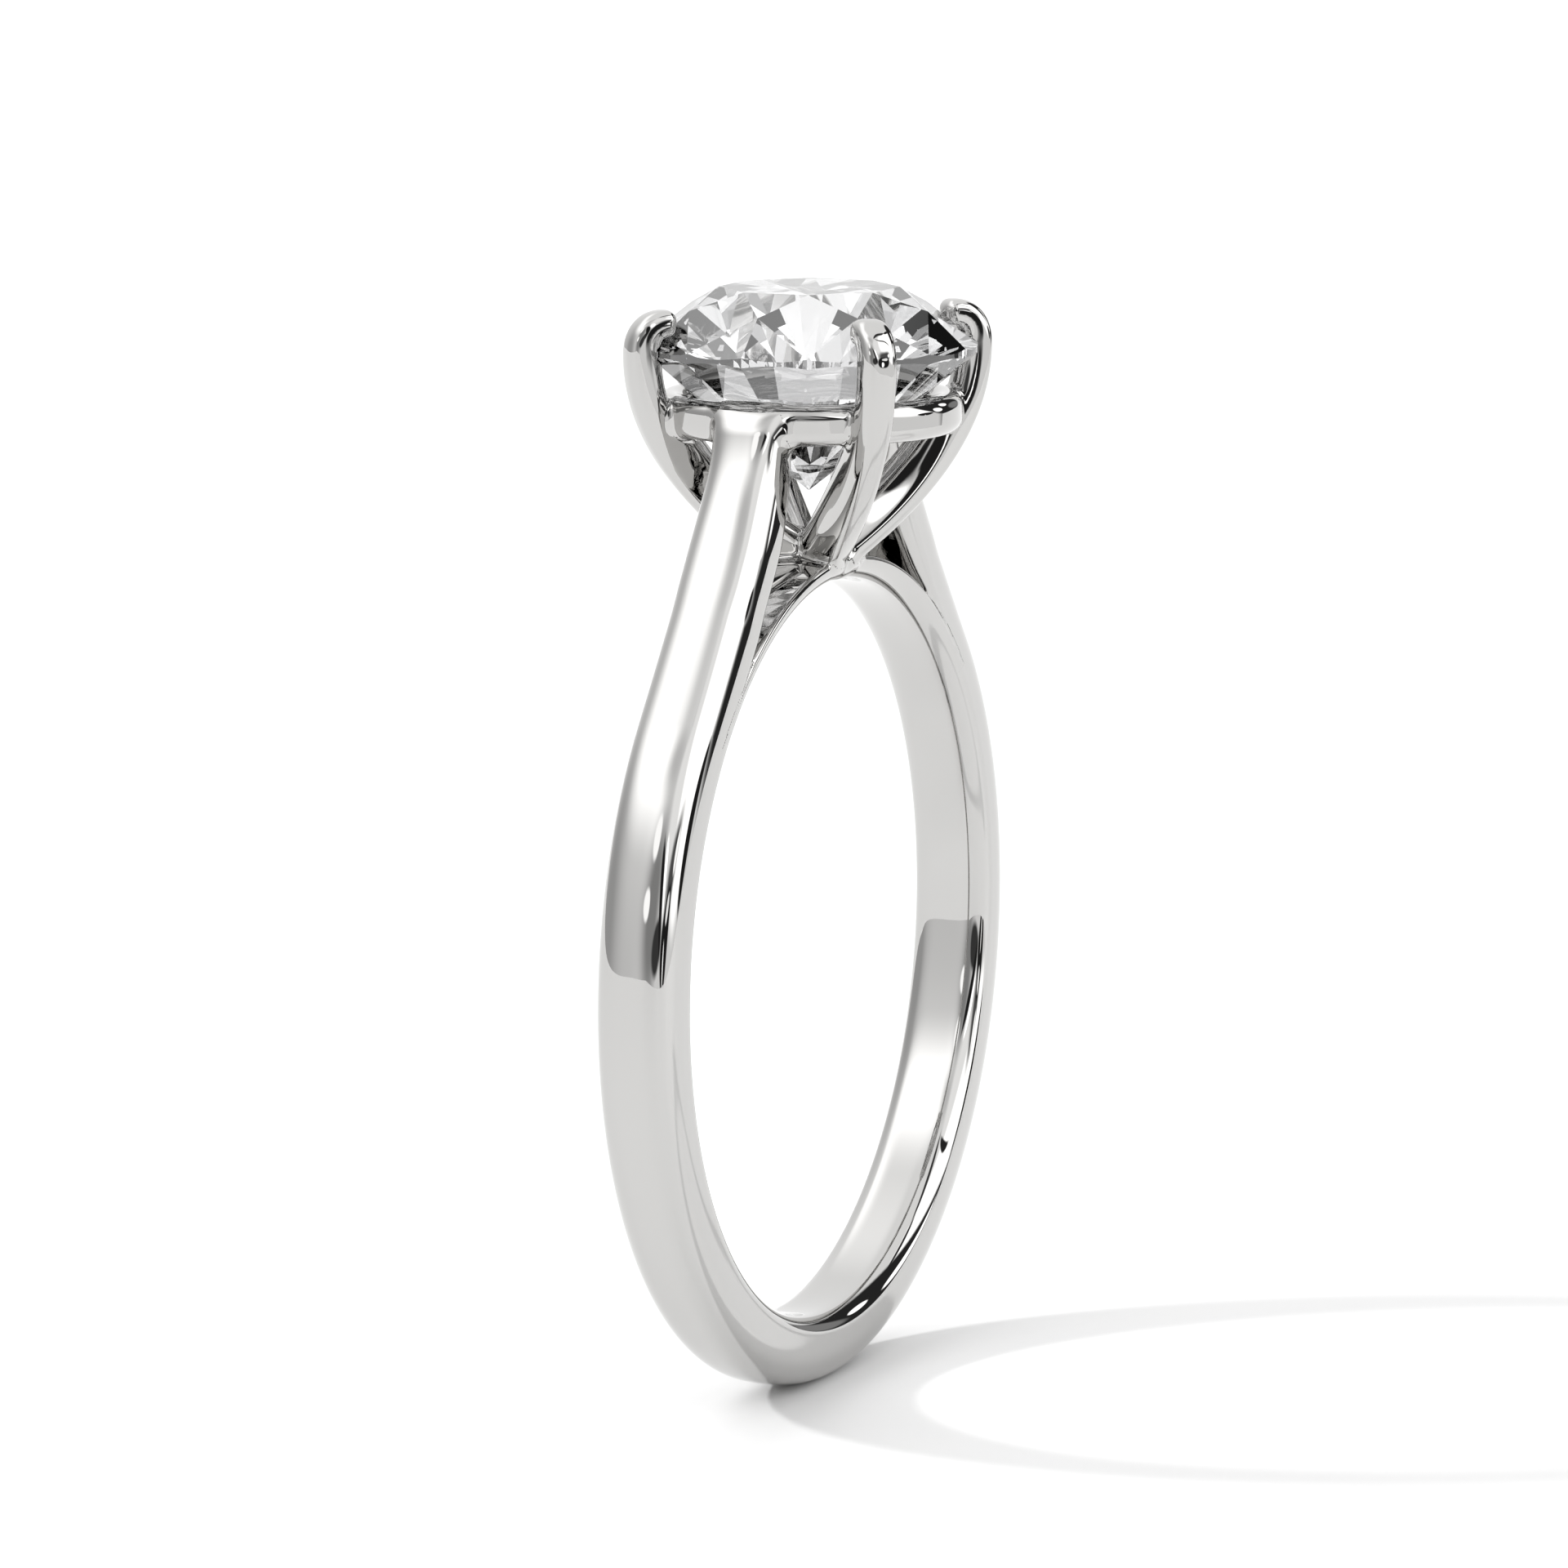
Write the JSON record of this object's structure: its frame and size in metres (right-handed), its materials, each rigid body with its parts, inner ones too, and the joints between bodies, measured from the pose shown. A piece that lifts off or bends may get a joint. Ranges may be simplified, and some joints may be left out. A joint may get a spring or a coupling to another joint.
{
  "type": "engagement ring",
  "caption": "Solitaire finger ring: comfort-fit band with cathedral shoulders, gallery rail and claw prongs that hold a round brilliant stone.",
  "frame": {"origin": "centre of the finger hole, midway across the band's width", "axes": "+Y along the finger, +Z from the finger hole up through the stone's table, +X across the hand"},
  "size_m": [0.0196, 0.0074, 0.0246],
  "materials": {
    "white_gold": "mirror-polished white gold, rhodium plated",
    "diamond": "colourless brilliant-cut stone with flat polished facets"
  },
  "bodies": {
    "root": {"shank": "white_gold", "shoulder_left": "white_gold", "shoulder_right": "white_gold", "bridge": "white_gold", "gallery_rail": "white_gold", "prong_front_left": "white_gold", "prong_front_right": "white_gold", "prong_back_left": "white_gold", "prong_back_right": "white_gold", "center_stone": "diamond"}
  },
  "joints": []
}
